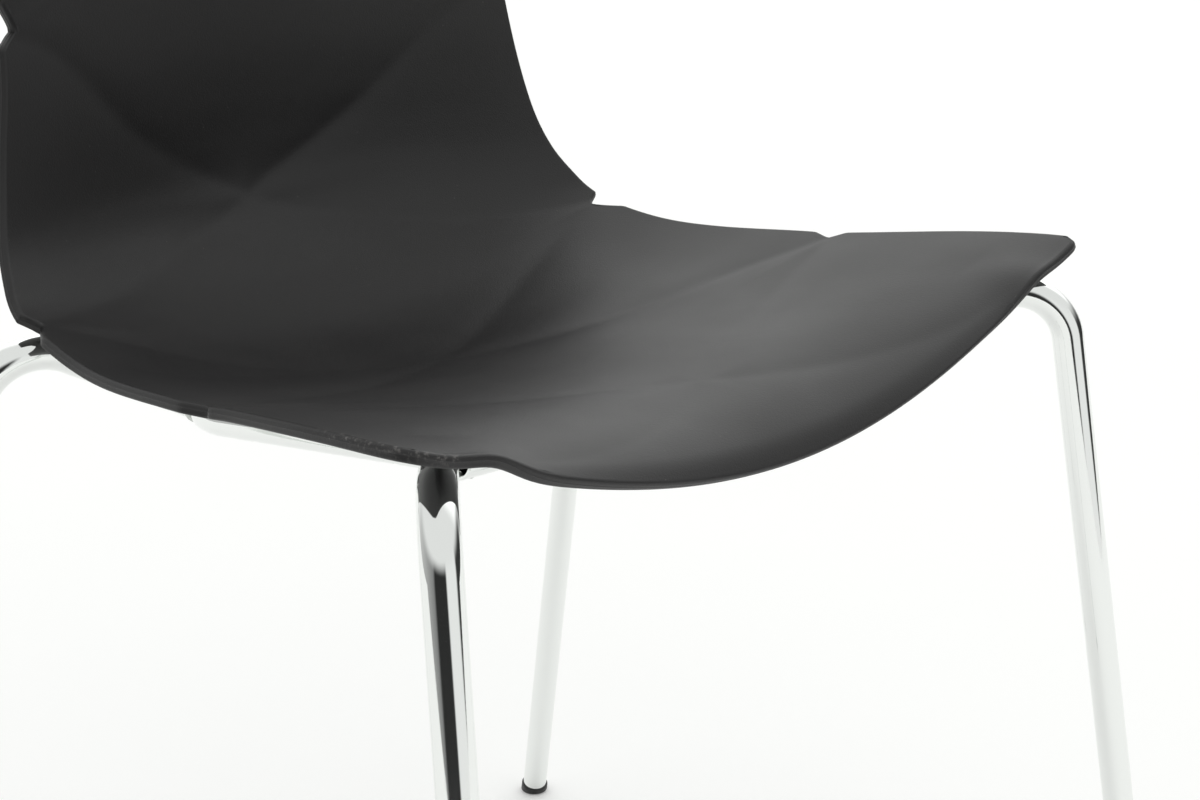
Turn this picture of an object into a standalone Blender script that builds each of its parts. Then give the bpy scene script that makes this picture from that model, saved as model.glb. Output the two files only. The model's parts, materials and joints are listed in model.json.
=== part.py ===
"""Stacking chair: a one-piece moulded seat-and-back shell on a welded steel tube frame.

Metres, +Z up. The chair faces -Y and the origin is on the floor under its middle.
"""

from math import cos, pi, radians, sin, tan

import bmesh
import bpy
from mathutils import Matrix, Vector

# ---- Clearances -------------------------------------------------------------------------
TOUCH_GAP = 0.0003  # between two pieces that touch or are welded
SLIP_FIT = 0.0003  # between a plug or an insert and its bore

# ---- Shell ------------------------------------------------------------------------------
SHELL_WIDTH = 0.4584
SEAT_HEIGHT = 0.4020  # the lowest point of the seat's upper face
SHELL_THICKNESS = 0.0052
CUP_ROUNDNESS = 1.1  # cross-section: 1 is a parabola, more is steeper in its middle
NOTCH_DEPTH = 0.0095
NOTCH_MOUTH = 0.018
ROWS_PER_SECTION = 2
COLUMNS = 16
ROW_STEP = 0.25  # rows either side of one row, over which the edge's length is measured
NOTCH_MARGIN = 1.2  # rows this near a notch's mouth, in half mouths, give way to its own three
HALVINGS = 30

# Sections from the front lip over the seat and up the back. Each is the point on the middle
# line (y, height above SEAT_HEIGHT) and the point on the side edge (how far it is in from
# half the shell's width, y, height above SEAT_HEIGHT).
SECTIONS = (
    (-0.1810, 0.0020, 0.0017, -0.1770, 0.0610),
    (-0.1730, 0.0130, 0.0002, -0.1690, 0.0602),
    (-0.1540, 0.0212, 0.0000, -0.1540, 0.0588),
    (-0.1270, 0.0242, 0.0022, -0.1300, 0.0565),
    (-0.0970, 0.0225, 0.0057, -0.1040, 0.0535),
    (-0.0520, 0.0160, 0.0132, -0.0570, 0.0475),
    (-0.0070, 0.0085, 0.0169, -0.0140, 0.0430),
    (0.0380, 0.0025, 0.0232, 0.0330, 0.0395),
    (0.0780, 0.0000, 0.0297, 0.0680, 0.0400),
    (0.1180, 0.0070, 0.0347, 0.0980, 0.0450),
    (0.1560, 0.0270, 0.0374, 0.1190, 0.0525),
    (0.1830, 0.0520, 0.0414, 0.1305, 0.0620),
    (0.1935, 0.0740, 0.0469, 0.1410, 0.0755),
    (0.1960, 0.0960, 0.0529, 0.1483, 0.0940),
    (0.1945, 0.1210, 0.0587, 0.1535, 0.1190),
    (0.1915, 0.1510, 0.0646, 0.1570, 0.1490),
    (0.1900, 0.1850, 0.0679, 0.1605, 0.1820),
    (0.1920, 0.2230, 0.0669, 0.1663, 0.2200),
    (0.1985, 0.2630, 0.0629, 0.1745, 0.2580),
    (0.2085, 0.3040, 0.0584, 0.1850, 0.2970),
    (0.2215, 0.3480, 0.0549, 0.1985, 0.3380),
    (0.2325, 0.3810, 0.0564, 0.2095, 0.3680),
    (0.2410, 0.4040, 0.0709, 0.2180, 0.3890),
)
# Where the side edge is notched, as a distance along SECTIONS' rows.
NOTCH_ROWS = (5.42, 9.55, 15.6, 18.75)

# ---- Frame ------------------------------------------------------------------------------
TUBE_DIAMETER = 0.016
TUBE_WALL = 0.0018
KNEE_RADIUS = 0.029  # bend at the top of each leg, on the tube's centre line
FRONT_KNEE_INSET = 0.0126  # from half the shell's width in to the knee's corner
FRONT_KNEE_Y = -0.1757
FRONT_KNEE_RISE = 0.0310  # from the weld on the seat loop up to the knee's corner
FRONT_SPLAY = (0.0354, -0.0653)  # from the knee's corner out to the foot
REAR_KNEE_INSET = 0.0259
REAR_KNEE_Y = 0.1270
REAR_KNEE_RISE = 0.0553
REAR_SPLAY = (0.0537, 0.1060)
LOOP_WIDTH = 0.2360  # between the centre lines of the seat loop's two rails
LOOP_REAR_Y = 0.1180
LOOP_RADIUS = 0.0500
FRONT_WELD_Y = -0.0740  # where the front legs' runs meet the rails
REAR_WELD_TURN = 45  # degrees round the loop's rear bend, where the rear legs' runs meet it
CROSS_Y = -0.0925  # the front cross tube, which the rails' front ends are welded to
CROSS_BOW = 0.0040  # how far the front cross tube hangs down in its middle
CROSS_STEPS = 12
ARC_STEPS = 6
TUBE_SIDES = 12

# ---- Screwed joints between the seat loop's rails and the shell -----------------------------
SCREW_YS = {"front": -0.0500, "rear": 0.0450}
BOSS_HEIGHT = 0.0064  # between the top of a rail and the shell's underside
BOSS_WALL = 0.0040
BOSS_SEAT = 0.0030  # how far the boss reaches down round the rail
SCREW_DIAMETER = 0.0050
SCREW_CLEARANCE = 0.0004
SCREW_HEAD_DIAMETER = 0.0085
SCREW_HEAD_HEIGHT = 0.0030
SCREW_CROWN = 0.75  # the head's flat end as a share of its width
SOCKET_WIDTH = 0.0030
SOCKET_DEPTH = 0.0018
ACCESS_DIAMETER = 0.0096  # hole in the rail's lower wall, through which the screw goes in
INSERT_WALL = 0.0016
INSERT_LENGTH = 0.0060
SADDLE_DIAMETER = 0.0090
SADDLE_SEAT = 0.0020  # the saddle washer's flat face, above the rail's centre line
SMALL_SIDES = 16

# ---- Glides -----------------------------------------------------------------------------
GLIDE_LIP = 0.0010  # how far the glide stands out from the tube
GLIDE_HEIGHT = 0.0065
GLIDE_CHAMFER = 0.0012
PLUG_LENGTH = 0.0220
GLIDE_SIDES = 20

SMOOTH_ANGLE = 40  # degrees between faces, up to which an edge is drawn smooth

TUBE_RADIUS = TUBE_DIAMETER / 2
BORE_RADIUS = TUBE_RADIUS - TUBE_WALL
INSERT_RADIUS = SCREW_DIAMETER / 2 + INSERT_WALL
INSERT_TOP = TUBE_RADIUS + TOUCH_GAP + INSERT_LENGTH  # above the rail's centre line
BORE_FLATS = BORE_RADIUS * cos(pi / TUBE_SIDES)  # from a tube's centre line to its bore's flats
RAIL_X = LOOP_WIDTH / 2


# ---- Scene and mesh helpers ---------------------------------------------------------------
def clear_scene():
    for obj in list(bpy.data.objects):
        bpy.data.objects.remove(obj, do_unlink=True)


def make_material(name, colour, roughness, metallic):
    material = bpy.data.materials.new(name)
    material.use_nodes = True
    shader = material.node_tree.nodes["Principled BSDF"]
    shader.inputs["Base Color"].default_value = (*colour, 1)
    shader.inputs["Roughness"].default_value = roughness
    shader.inputs["Metallic"].default_value = metallic
    return material


def add_object(name, mesh, material, parent=None):
    obj = bpy.data.objects.new(name, mesh)
    bpy.context.scene.collection.objects.link(obj)
    obj.parent = parent
    if material:
        mesh.materials.append(material)
    return obj


def add_cutter(name, mesh, parent=None):
    cutter = add_object(name, mesh, None, parent)
    cutter.hide_render = True
    cutter.display_type = "WIRE"
    return cutter


def add_boolean(obj, other, operation):
    modifier = obj.modifiers.new(other.name, "BOOLEAN")
    modifier.operation = operation
    modifier.solver = "EXACT"
    modifier.object = other


def ring_mesh(name, rings, closed):
    """A mesh through equal rings of points, capped at both ends or, if closed, joined into a loop."""
    bm = bmesh.new()
    loops = [[bm.verts.new(point) for point in ring] for ring in rings]
    pairs = list(zip(loops, loops[1:]))
    if closed:
        pairs.append((loops[-1], loops[0]))
    for low, high in pairs:
        for i in range(len(low)):
            j = (i + 1) % len(low)
            bm.faces.new((low[i], low[j], high[j], high[i]))
    if not closed:
        bm.faces.new(reversed(loops[0]))
        bm.faces.new(loops[-1])
    bmesh.ops.recalc_face_normals(bm, faces=bm.faces)
    mesh = bpy.data.meshes.new(name)
    bm.to_mesh(mesh)
    bm.free()
    mesh.shade_smooth()
    mesh.set_sharp_from_angle(angle=radians(SMOOTH_ANGLE))
    return mesh


def circle(radius, height, sides):
    """Points of a circle about +Z at this height."""
    turn = 2 * pi / sides
    return [Vector((radius * cos(i * turn), radius * sin(i * turn), height)) for i in range(sides)]


def turned(name, profile, sides=SMALL_SIDES, closed=False):
    """A solid of revolution about +Z from (radius, height) pairs, bottom to top."""
    return ring_mesh(name, [circle(r, h, sides) for r, h in profile], closed)


def filleted(corners, radii, steps):
    """The polyline through corners with each inner corner rounded to an arc of its radius."""
    path = [corners[0]]
    for before, corner, after, radius in zip(corners, corners[1:], corners[2:], radii):
        back = (before - corner).normalized()
        ahead = (after - corner).normalized()
        half = back.angle(ahead) / 2
        middle = (back + ahead).normalized()
        centre = corner + middle * (radius / sin(half))
        start = corner + back * (radius / tan(half)) - centre
        axis = start.cross(corner + ahead * (radius / tan(half)) - centre).normalized()
        sweep = pi - 2 * half
        for i in range(steps + 1):
            path.append(centre + Matrix.Rotation(sweep * i / steps, 3, axis) @ start)
    path.append(corners[-1])
    return path


def swept_rings(path, radius, sides):
    """Rings of points square to a polyline, each turned as little as possible from the last."""
    rings = []
    side = (path[1] - path[0]).orthogonal().normalized()
    turn = 2 * pi / sides
    for i, point in enumerate(path):
        ahead = (path[min(i + 1, len(path) - 1)] - point).normalized()
        behind = (point - path[max(i - 1, 0)]).normalized()
        along = (ahead + behind).normalized()
        side = (side - along * side.dot(along)).normalized()
        across = along.cross(side)
        ring = [side * cos(k * turn) + across * sin(k * turn) for k in range(sides)]
        rings.append([point + direction * radius for direction in ring])
    return rings


def tube_mesh(name, path, radius, bore, sides):
    """A hollow tube open at both ends, swept along a polyline."""
    outside = swept_rings(path, radius, sides)
    inside = swept_rings(path, bore, sides)
    return ring_mesh(name, outside + inside[::-1], closed=True)


# ---- Shell surface ------------------------------------------------------------------------
def section(row):
    """SECTIONS at a fractional row, on a Catmull-Rom spline: the middle point and the edge point."""
    last = len(SECTIONS) - 1
    row = min(max(row, 0), last)
    i = min(int(row), last - 1)
    t = row - i
    p0, p1, p2, p3 = (SECTIONS[min(max(i + k, 0), last)] for k in (-1, 0, 1, 2))
    values = []
    for a, b, c, d in zip(p0, p1, p2, p3):
        slope = (c - a) * t + (2 * a - 5 * b + 4 * c - d) * t * t + (3 * b - a - 3 * c + d) * t**3
        values.append(b + slope / 2)
    middle = Vector((0, values[0], SEAT_HEIGHT + values[1]))
    edge = Vector((SHELL_WIDTH / 2 - values[2], values[3], SEAT_HEIGHT + values[4]))
    return middle, edge


def shell_point(row, across):
    """A point of the shell's upper face: across runs from -1 at the left edge to 1 at the right."""
    middle, edge = section(row)
    rise = CUP_ROUNDNESS * across**2 - (CUP_ROUNDNESS - 1) * across**6
    point = middle.lerp(edge, rise)
    point.x = edge.x * across
    return point


def seat_underside(x, y):
    """Height of the shell's underside over this point of the seat, found by halving the rows."""
    low = 0.0
    high = len(SECTIONS) / 2
    for _ in range(HALVINGS):
        row = (low + high) / 2
        across = min(abs(x) / section(row)[1].x, 1)
        if shell_point(row, across).y < y:
            low = row
        else:
            high = row
    return shell_point(row, across).z - SHELL_THICKNESS


def notch_cut(row):
    """How far the edge is notched at this row."""
    cut = 0
    for notch in NOTCH_ROWS:
        half_mouth = NOTCH_MOUTH / 2 / row_length(notch)
        cut = max(cut, NOTCH_DEPTH * (1 - abs(row - notch) / half_mouth))
    return cut


def row_length(row):
    """Length of the side edge for one row here."""
    return (section(row + ROW_STEP)[1] - section(row - ROW_STEP)[1]).length / (2 * ROW_STEP)


def shell_rows():
    steps = ROWS_PER_SECTION
    rows = [i / steps for i in range((len(SECTIONS) - 1) * steps + 1)]
    for notch in NOTCH_ROWS:
        half_mouth = NOTCH_MOUTH / 2 / row_length(notch)
        rows = [row for row in rows if abs(row - notch) > half_mouth * NOTCH_MARGIN]
        rows += [notch - half_mouth, notch, notch + half_mouth]
    return sorted(rows)


def shell_mesh(name):
    bm = bmesh.new()
    grid = []
    for row in shell_rows():
        half_width = section(row)[1].x
        line = []
        for k in range(COLUMNS + 1):
            across = -1 + 2 * k / COLUMNS
            if k in (0, COLUMNS):
                across *= 1 - max(notch_cut(row), 0) / half_width
            line.append(bm.verts.new(shell_point(row, across)))
        grid.append(line)
    for front, back in zip(grid, grid[1:]):
        for k in range(COLUMNS):
            bm.faces.new((front[k], front[k + 1], back[k + 1], back[k]))
    mesh = bpy.data.meshes.new(name)
    bm.to_mesh(mesh)
    bm.free()
    mesh.shade_smooth()
    return mesh


# ---- Frame lines --------------------------------------------------------------------------
def loop_height(y):
    """Height of the seat loop's plane: the rails hang BOSS_HEIGHT under the shell at both screws."""
    front_y, rear_y = SCREW_YS["front"], SCREW_YS["rear"]
    front_z = seat_underside(RAIL_X, front_y) - BOSS_HEIGHT - TUBE_RADIUS
    rear_z = seat_underside(RAIL_X, rear_y) - BOSS_HEIGHT - TUBE_RADIUS
    return front_z + (rear_z - front_z) * (y - front_y) / (rear_y - front_y)


def on_loop(x, y):
    return Vector((x, y, loop_height(y)))


def loop_path():
    """The seat loop's centre line: left rail, rear cross and right rail, in one sloping plane."""
    corners = [
        on_loop(-RAIL_X, CROSS_Y),
        on_loop(-RAIL_X, LOOP_REAR_Y),
        on_loop(RAIL_X, LOOP_REAR_Y),
        on_loop(RAIL_X, CROSS_Y),
    ]
    return filleted(corners, (LOOP_RADIUS, LOOP_RADIUS), ARC_STEPS)


def leg_path(corner, splay, weld):
    """A leg's centre line: foot, bent knee and the short run down to its weld on the loop."""
    foot = Vector((corner.x + splay[0], corner.y + splay[1], 0))
    up = (corner - foot).normalized()
    end = foot + up * ((GLIDE_HEIGHT + TOUCH_GAP) / up.z)
    return filleted([end, corner, weld], (KNEE_RADIUS,), ARC_STEPS)


def front_leg_path(side):
    weld = on_loop(RAIL_X * side, FRONT_WELD_Y)
    knee_x = (SHELL_WIDTH / 2 - FRONT_KNEE_INSET) * side
    corner = Vector((knee_x, FRONT_KNEE_Y, weld.z + FRONT_KNEE_RISE))
    return leg_path(corner, (FRONT_SPLAY[0] * side, FRONT_SPLAY[1]), weld)


def rear_leg_path(side):
    turn = radians(REAR_WELD_TURN)
    weld_x = RAIL_X - LOOP_RADIUS * (1 - cos(turn))
    weld = on_loop(weld_x * side, LOOP_REAR_Y - LOOP_RADIUS * (1 - sin(turn)))
    knee_x = (SHELL_WIDTH / 2 - REAR_KNEE_INSET) * side
    corner = Vector((knee_x, REAR_KNEE_Y, weld.z + REAR_KNEE_RISE))
    return leg_path(corner, (REAR_SPLAY[0] * side, REAR_SPLAY[1]), weld)


def cross_path():
    """Centre line of the front cross tube, bowed down between the rails and as long as the loop is
    wide."""
    path = []
    for i in range(CROSS_STEPS + 1):
        across = 2 * i / CROSS_STEPS - 1
        point = on_loop((RAIL_X + TUBE_RADIUS) * across, CROSS_Y)
        point.z -= CROSS_BOW * (1 - across**2)
        path.append(point)
    return path


def screw_frame(y, side):
    """Axes of one screwed joint: +Z leaves the rail square to it, towards the shell."""
    origin = on_loop(RAIL_X * side, y)
    along = (on_loop(RAIL_X * side, LOOP_REAR_Y) - origin).normalized()
    out = Vector((1, 0, 0))
    turn = Matrix((out, along, out.cross(along))).transposed().to_4x4()
    return Matrix.Translation(origin) @ turn


# ---- Frame pieces -------------------------------------------------------------------------
def build_tube(name, path, material):
    mesh = tube_mesh(name, path, TUBE_RADIUS, BORE_RADIUS, TUBE_SIDES)
    return add_object(name, mesh, material)


def saddle_cut(tube, label, path):
    """Trims a tube's end to the outside of the tube it is welded to."""
    longer = [
        path[0] + (path[0] - path[1]).normalized() * TOUCH_GAP,
        *path[1:-1],
        path[-1] + (path[-1] - path[-2]).normalized() * TOUCH_GAP,
    ]
    rings = swept_rings(longer, TUBE_RADIUS + TOUCH_GAP, TUBE_SIDES)
    mesh = ring_mesh(label, rings, closed=False)
    add_boolean(tube, add_cutter(label, mesh), "DIFFERENCE")


def build_seat_loop(joints, material):
    """The loop's tube, with a hole up through each rail: wide below, for the screw's head."""
    path = stopped_short(stopped_short(loop_path())[::-1])[::-1]
    loop = build_tube("seat_loop", path, material)
    saddle_cut(loop, "seat_loop_weld", cross_path())
    hole = SCREW_DIAMETER / 2 + SCREW_CLEARANCE
    access = ACCESS_DIAMETER / 2
    for label, joint in joints.items():
        cut_hole(loop, f"screw_hole_{label}", hole, (0, TUBE_DIAMETER), joint)
        cut_hole(loop, f"access_hole_{label}", access, (-TUBE_DIAMETER, 0), joint)


def cut_hole(tube, name, radius, heights, joint):
    cutter = add_cutter(name, turned(name, [(radius, height) for height in heights]))
    cutter.matrix_world = joint
    add_boolean(tube, cutter, "DIFFERENCE")


def build_leg(place, label, path, chrome, nylon):
    name = f"leg_{place}_{label}"
    leg = build_tube(name, stopped_short(path), chrome)
    saddle_cut(leg, f"{name}_weld", loop_path())
    if place == "front":
        saddle_cut(leg, f"{name}_cross_weld", cross_path())
    build_glide(f"glide_{place}_{label}", path[0], path[1], nylon)


def stopped_short(path):
    """The path with its last point drawn back from the axis of the tube that it meets."""
    back = (path[-2] - path[-1]).normalized()
    return [*path[:-1], path[-1] + back * TUBE_WALL]


def build_glide(name, end, above, material):
    """A plug that fills the tube's end and ends in a flange with a level sole on the floor."""
    up = (above - end).normalized()
    side = up.orthogonal().normalized()
    across = up.cross(side)
    turn = 2 * pi / GLIDE_SIDES
    directions = [side * cos(k * turn) + across * sin(k * turn) for k in range(GLIDE_SIDES)]
    plug = BORE_RADIUS - SLIP_FIT
    flange = TUBE_RADIUS + GLIDE_LIP
    top = end - up * TOUCH_GAP

    def level(radius, height):
        """The flange's outline where it meets a level plane."""
        ring = []
        for d in directions:
            point = top + d * radius
            ring.append(point - up * ((point.z - height) / up.z))
        return ring

    rings = [
        level(flange - GLIDE_CHAMFER, 0),
        level(flange, GLIDE_CHAMFER),
        [top + d * flange for d in directions],
        [top + d * plug for d in directions],
        [top + d * plug + up * (PLUG_LENGTH - GLIDE_CHAMFER) for d in directions],
        [top + d * (plug - GLIDE_CHAMFER) + up * PLUG_LENGTH for d in directions],
    ]
    add_object(name, ring_mesh(name, rings, closed=False), material)


# ---- Shell and its screwed joints -----------------------------------------------------------
def build_shell(joints, material):
    shell = add_object("seat_shell", shell_mesh("seat_shell"), material)
    wall = shell.modifiers.new("wall", "SOLIDIFY")
    wall.thickness = SHELL_THICKNESS
    wall.offset = -1
    wall.use_even_offset = True
    bore = INSERT_RADIUS + SLIP_FIT
    boss = bore + BOSS_WALL
    for i, joint in enumerate(joints.values()):
        outline = ((boss, TUBE_RADIUS - BOSS_SEAT), (boss, boss_reach(joint)))
        cut_shell(shell, f"boss_{i}", turned(f"boss_{i}", outline), joint, "UNION")
    for i, joint in enumerate(joints.values()):
        outline = ((bore, 0), (bore, INSERT_TOP + TOUCH_GAP))
        cut_shell(shell, f"boss_bore_{i}", turned(f"boss_bore_{i}", outline), joint, "DIFFERENCE")
        groove = rail_bar(f"boss_groove_{i}", TUBE_RADIUS + TOUCH_GAP)
        cut_shell(shell, f"boss_groove_{i}", groove, joint, "DIFFERENCE")


def cut_shell(shell, name, mesh, joint, operation):
    helper = add_cutter(name, mesh)
    helper.matrix_world = joint
    add_boolean(shell, helper, operation)


def boss_reach(joint):
    """Height up the joint's axis at which the boss ends inside the shell's wall."""
    origin = joint.translation
    up = joint.to_3x3() @ Vector((0, 0, 1))
    return (seat_underside(origin.x, origin.y) - origin.z) * up.z + SHELL_THICKNESS / 2


def rail_bar(name, radius):
    """A straight round bar along the joint's Y, which gives its neighbours saddle-shaped faces."""
    rings = []
    for y in (TUBE_DIAMETER, -TUBE_DIAMETER):
        ring = circle(radius, 0, 4 * TUBE_SIDES)
        rings.append([Vector((p.x, y, p.y)) for p in ring])
    return ring_mesh(name, rings, closed=False)


def build_insert(name, joint, material):
    hole = (SCREW_DIAMETER + SCREW_CLEARANCE) / 2
    low = INSERT_TOP - INSERT_LENGTH + TOUCH_GAP
    outline = ((INSERT_RADIUS, low), (INSERT_RADIUS, INSERT_TOP), (hole, INSERT_TOP), (hole, low))
    add_object(name, turned(name, outline, closed=True), material).matrix_world = joint


def build_saddle(name, joint, material):
    """A washer inside the rail: flat under the screw's head, curved above to the rail's bore."""
    hole = SCREW_DIAMETER / 2 + SCREW_CLEARANCE
    outer = SADDLE_DIAMETER / 2
    low = SADDLE_SEAT
    outline = ((outer, low), (outer, BORE_RADIUS), (hole, BORE_RADIUS), (hole, low))
    saddle = add_object(name, turned(name, outline, closed=True), material)
    saddle.matrix_world = joint
    bore = add_cutter(f"{name}_bore", rail_bar(f"{name}_bore", BORE_FLATS - TOUCH_GAP))
    bore.matrix_world = joint
    add_boolean(saddle, bore, "INTERSECT")


def build_screw(name, joint, material):
    """A button-head screw with a round socket, its head inside the rail under the saddle washer."""
    under_head = SADDLE_SEAT - TOUCH_GAP
    head_end = under_head - SCREW_HEAD_HEIGHT
    shank = SCREW_DIAMETER / 2
    head = SCREW_HEAD_DIAMETER / 2
    socket = SOCKET_WIDTH / 2
    outline = (
        (socket, head_end + SOCKET_DEPTH),
        (socket, head_end),
        (head * SCREW_CROWN, head_end),
        (head, under_head - SCREW_HEAD_HEIGHT / 2),
        (head, under_head),
        (shank, under_head),
        (shank, INSERT_TOP - TOUCH_GAP),
    )
    add_object(name, turned(name, outline), material).matrix_world = joint


def build_chair():
    clear_scene()
    plastic = make_material("matt_black_polypropylene", (0.016, 0.016, 0.017), 0.5, 0)
    chrome = make_material("chrome_plated_steel", (0.80, 0.81, 0.82), 0.06, 1)
    steel = make_material("zinc_plated_steel", (0.55, 0.56, 0.58), 0.35, 1)
    brass = make_material("brass", (0.62, 0.45, 0.17), 0.3, 1)
    nylon = make_material("black_nylon", (0.012, 0.012, 0.013), 0.45, 0)
    joints = {}
    for label, side in (("left", -1), ("right", 1)):
        build_leg("front", label, front_leg_path(side), chrome, nylon)
        build_leg("rear", label, rear_leg_path(side), chrome, nylon)
        for place, y in SCREW_YS.items():
            joints[f"{place}_{label}"] = screw_frame(y, side)
    build_seat_loop(joints, chrome)
    build_tube("front_cross_tube", cross_path(), chrome)
    build_shell(joints, plastic)
    for label, joint in joints.items():
        build_insert(f"threaded_insert_{label}", joint, brass)
        build_saddle(f"saddle_washer_{label}", joint, nylon)
        build_screw(f"shell_screw_{label}", joint, steel)


build_chair()
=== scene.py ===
"""Looks of the stacking chair: a moulded polypropylene shell on a chrome-plated steel tube frame.

Metres, +Z up, the chair faces -Y, the floor is z = 0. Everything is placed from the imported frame.
"""

import json
from math import cos, pi, radians, sin, tan

import bmesh
import bpy
import numpy as np
from mathutils import Matrix, Vector


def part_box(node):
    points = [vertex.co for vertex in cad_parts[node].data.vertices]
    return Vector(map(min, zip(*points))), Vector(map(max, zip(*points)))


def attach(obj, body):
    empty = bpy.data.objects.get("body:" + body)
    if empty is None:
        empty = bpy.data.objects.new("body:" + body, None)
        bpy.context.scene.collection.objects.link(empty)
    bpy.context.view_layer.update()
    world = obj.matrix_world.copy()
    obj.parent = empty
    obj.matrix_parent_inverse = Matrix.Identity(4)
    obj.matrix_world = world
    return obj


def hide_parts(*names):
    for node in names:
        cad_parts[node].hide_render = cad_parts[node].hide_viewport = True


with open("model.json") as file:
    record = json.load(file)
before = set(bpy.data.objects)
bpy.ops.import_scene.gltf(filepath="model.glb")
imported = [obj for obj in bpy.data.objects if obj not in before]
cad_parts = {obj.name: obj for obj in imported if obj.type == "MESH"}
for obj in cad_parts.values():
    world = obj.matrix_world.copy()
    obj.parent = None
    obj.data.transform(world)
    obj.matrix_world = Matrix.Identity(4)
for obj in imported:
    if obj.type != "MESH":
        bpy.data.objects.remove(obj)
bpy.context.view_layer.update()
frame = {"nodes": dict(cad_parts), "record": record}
nodes = frame["nodes"]

MM = 0.001
SIDES = (("left", -1), ("right", 1))
PLACES = ("front", "rear")

# ---- Shell sizes --------------------------------------------------------------------------
SHELL_THICKNESS = 5.2 * MM
SHELL_WIDTH = 458.4 * MM
SEAT_HEIGHT = 402 * MM
CUP_ROUNDNESS = 1.1
RIM_RADIUS = 1.7 * MM  # the rim's upper corner
RIM_UNDER_RADIUS = 1.1 * MM
FLASH = 0.16 * MM  # the mould's parting line stands this proud of the rim
FLASH_WIDTH = 0.5 * MM
NOTCH_SOFTNESS = 1.1 * MM

# The shell's sections from the front lip to the top of the back: the point on the middle line
# (y, height above the seat's hollow) and the one on the side edge (inset from half the width, y,
# height). They are the design's own sections, in metres.
SECTIONS = np.array((
    (-0.1810, 0.0020, 0.0017, -0.1770, 0.0610),
    (-0.1730, 0.0130, 0.0002, -0.1690, 0.0602),
    (-0.1540, 0.0212, 0.0000, -0.1540, 0.0588),
    (-0.1270, 0.0242, 0.0022, -0.1300, 0.0565),
    (-0.0970, 0.0225, 0.0057, -0.1040, 0.0535),
    (-0.0520, 0.0160, 0.0132, -0.0570, 0.0475),
    (-0.0070, 0.0085, 0.0169, -0.0140, 0.0430),
    (0.0380, 0.0025, 0.0232, 0.0330, 0.0395),
    (0.0780, 0.0000, 0.0297, 0.0680, 0.0400),
    (0.1180, 0.0070, 0.0347, 0.0980, 0.0450),
    (0.1560, 0.0270, 0.0374, 0.1190, 0.0525),
    (0.1830, 0.0520, 0.0414, 0.1305, 0.0620),
    (0.1935, 0.0740, 0.0469, 0.1410, 0.0755),
    (0.1960, 0.0960, 0.0529, 0.1483, 0.0940),
    (0.1945, 0.1210, 0.0587, 0.1535, 0.1190),
    (0.1915, 0.1510, 0.0646, 0.1570, 0.1490),
    (0.1900, 0.1850, 0.0679, 0.1605, 0.1820),
    (0.1920, 0.2230, 0.0669, 0.1663, 0.2200),
    (0.1985, 0.2630, 0.0629, 0.1745, 0.2580),
    (0.2085, 0.3040, 0.0584, 0.1850, 0.2970),
    (0.2215, 0.3480, 0.0549, 0.1985, 0.3380),
    (0.2325, 0.3810, 0.0564, 0.2095, 0.3680),
    (0.2410, 0.4040, 0.0709, 0.2180, 0.3890),
))
# Notches in each side edge: the row, the depth, then the lengths of the run towards the front and
# of the one towards the back, in metres.
NOTCHES = (
    (5.42, 0.0060, 0.0070, 0.0125),
    (9.55, 0.0095, 0.0150, 0.0055),
    (15.6, 0.0095, 0.0060, 0.0140),
    (18.75, 0.0095, 0.0150, 0.0060),
)
# Folds pressed into the shell, each from the middle line out to a notch, as (share of the half
# width, row) points, with the fold's depth in millimetres.
FOLDS = (
    (1.04, ((0, 3.33), (0.08, 2.90), (0.28, 2.15), (0.60, 1.20), (0.98, 0.30))),
    (1.14, ((0, 3.33), (0.155, 4.00), (0.295, 4.35), (0.525, 4.80), (0.745, 5.12), (0.96, 5.40))),
    (1.42, ((0, 7.27), (0.25, 6.82), (0.50, 6.42), (0.75, 6.00), (0.96, 5.46))),
    (1.14, ((0, 7.27), (0.35, 8.10), (0.70, 8.90), (0.96, 9.50))),
    (1.52, ((0, 11.75), (0.13, 11.20), (0.39, 10.70), (0.70, 10.10), (0.96, 9.60))),
    (2.09, ((0, 11.75), (0.22, 12.60), (0.42, 13.50), (0.60, 14.45), (0.80, 15.25), (0.97, 15.6))),
    (1.52, ((0, 16.95), (0.50, 16.30), (0.97, 15.65))),
    (1.52, ((0, 16.95), (0.50, 17.90), (0.97, 18.70))),
    (1.33, ((0, 20.60), (0.50, 19.70), (0.97, 18.80))),
    (1.14, ((0, 20.60), (0.50, 21.20), (0.90, 21.80))),
)
FOLD_WIDTH = 11 * MM  # over which a fold's valley fades to a third
FOLD_SOFTNESS = 2 * MM
FOLD_STEPS = 12  # points from one corner of a fold to the next
FOLD_BLEND = 9  # neighbouring points that are averaged to round a fold's corners
WING_FULLNESS = 5 * MM
WING_X = 187 * MM
WING_SPREAD = 18 * MM
FRONT_ROWS = 2.5  # rows over which the front corners' and wings' shape dies away
TOP_ROWS = 1.5
NOTCH_REACH = 0.2  # share of the half width that a notch draws in
CORNER_START = 0.962
CORNER_FRONT = 0.9  # rows
CORNER_TOP = 0.42
CORNER_LIMIT = 0.999  # keeps the last column of a round corner off a vertical tangent
WEAR_REACH = 3 * MM
WEAR_ROWS = (2.4, 3.6)  # where the rubbed stretch of the left rim fades out
WEAR_EDGE = -0.9  # the share of the half width beyond which the left rim is rubbed
FIRST_ROW = 0.29  # rows between the front edge and the next row of the grid
LAST_ROW = 0.13
ROWS_PER_SECTION = 10
NOTCH_ROWS = (0.62, 27)  # the finer rows at a notch: their reach to either side, and how many
CLOSEST_ROWS = 0.03
MIDDLE_COLUMNS = (0.93, 113)  # the even columns: the share they cover, and how many
SIDE_COLUMNS = (0.0, 0.013, 0.024, 0.036, 0.049)  # shares in from the side edge
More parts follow.
